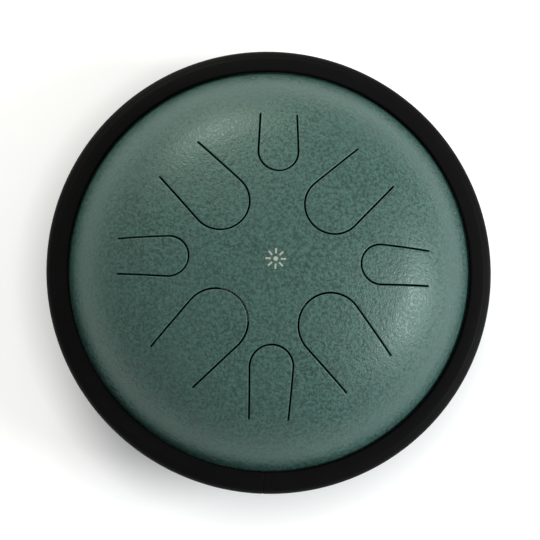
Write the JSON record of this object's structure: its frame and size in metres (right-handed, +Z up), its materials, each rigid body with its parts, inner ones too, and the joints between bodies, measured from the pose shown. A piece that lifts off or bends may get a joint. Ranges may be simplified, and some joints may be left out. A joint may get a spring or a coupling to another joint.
{
  "type": "steel tongue drum",
  "caption": "Round hand-played steel drum: a domed top with U-cut tongues, a bowl with a sound port, a black rubber rim and screwed rubber feet.",
  "frame": {"origin": "centre of the footprint, on the plane that the feet stand on", "axes": "+Z up through the playing face, +Y away from the player, +X to the player's right"},
  "size_m": [0.305, 0.305, 0.1317],
  "materials": {
    "shell_paint": "grey-green textured powder coat, satin",
    "trim_rubber": "black moulded rubber edging, satin",
    "foot_rubber": "black moulded rubber, matte",
    "zinc_steel": "bright zinc plated steel",
    "bond_resin": "cured structural adhesive"
  },
  "bodies": {
    "shell": {"top_shell": "shell_paint", "bottom_shell": "shell_paint", "flange_bond": "bond_resin", "rim_trim": "trim_rubber", "foot_1": "foot_rubber", "foot_washer_1": "zinc_steel", "foot_screw_1": "zinc_steel", "foot_nut_1": "zinc_steel", "foot_2": "foot_rubber", "foot_washer_2": "zinc_steel", "foot_screw_2": "zinc_steel", "foot_nut_2": "zinc_steel", "foot_3": "foot_rubber", "foot_washer_3": "zinc_steel", "foot_screw_3": "zinc_steel", "foot_nut_3": "zinc_steel", "foot_4": "foot_rubber", "foot_washer_4": "zinc_steel", "foot_screw_4": "zinc_steel", "foot_nut_4": "zinc_steel"},
    "tongue_north": {"tongue_north": "shell_paint"},
    "tongue_north_east": {"tongue_north_east": "shell_paint"},
    "tongue_east": {"tongue_east": "shell_paint"},
    "tongue_south_east": {"tongue_south_east": "shell_paint"},
    "tongue_south": {"tongue_south": "shell_paint"},
    "tongue_south_west": {"tongue_south_west": "shell_paint"},
    "tongue_west": {"tongue_west": "shell_paint"},
    "tongue_north_west": {"tongue_north_west": "shell_paint"}
  },
  "joints": [
    {"name": "tongue_north_flex", "type": "hinge", "parent": "shell", "child": "tongue_north", "pos_m": [0, 0.0995, 0.1124], "axis": [-1, 0, 0], "range_deg": [-0.5, 0.5], "stiffness_Nm_per_rad": 104},
    {"name": "tongue_north_east_flex", "type": "hinge", "parent": "shell", "child": "tongue_north_east", "pos_m": [0.06562, 0.06562, 0.1157], "axis": [-0.7071, 0.7071, 0], "range_deg": [-0.5, 0.5], "stiffness_Nm_per_rad": 99},
    {"name": "tongue_east_flex", "type": "hinge", "parent": "shell", "child": "tongue_east", "pos_m": [0.1034, 0, 0.1101], "axis": [0, 1, 0], "range_deg": [-0.5, 0.5], "stiffness_Nm_per_rad": 86},
    {"name": "tongue_south_east_flex", "type": "hinge", "parent": "shell", "child": "tongue_south_east", "pos_m": [0.06491, -0.07209, 0.11372], "axis": [0.7431, 0.6691, 0], "range_deg": [-0.5, 0.5], "stiffness_Nm_per_rad": 105},
    {"name": "tongue_south_flex", "type": "hinge", "parent": "shell", "child": "tongue_south", "pos_m": [0, -0.104, 0.10972], "axis": [1, 0, 0], "range_deg": [-0.5, 0.5], "stiffness_Nm_per_rad": 91},
    {"name": "tongue_south_west_flex", "type": "hinge", "parent": "shell", "child": "tongue_south_west", "pos_m": [-0.06491, -0.07209, 0.11372], "axis": [0.7431, -0.6691, 0], "range_deg": [-0.5, 0.5], "stiffness_Nm_per_rad": 105},
    {"name": "tongue_west_flex", "type": "hinge", "parent": "shell", "child": "tongue_west", "pos_m": [-0.1034, 0, 0.1101], "axis": [0, -1, 0], "range_deg": [-0.5, 0.5], "stiffness_Nm_per_rad": 86},
    {"name": "tongue_north_west_flex", "type": "hinge", "parent": "shell", "child": "tongue_north_west", "pos_m": [-0.06562, 0.06562, 0.1157], "axis": [-0.7071, -0.7071, 0], "range_deg": [-0.5, 0.5], "stiffness_Nm_per_rad": 99}
  ]
}
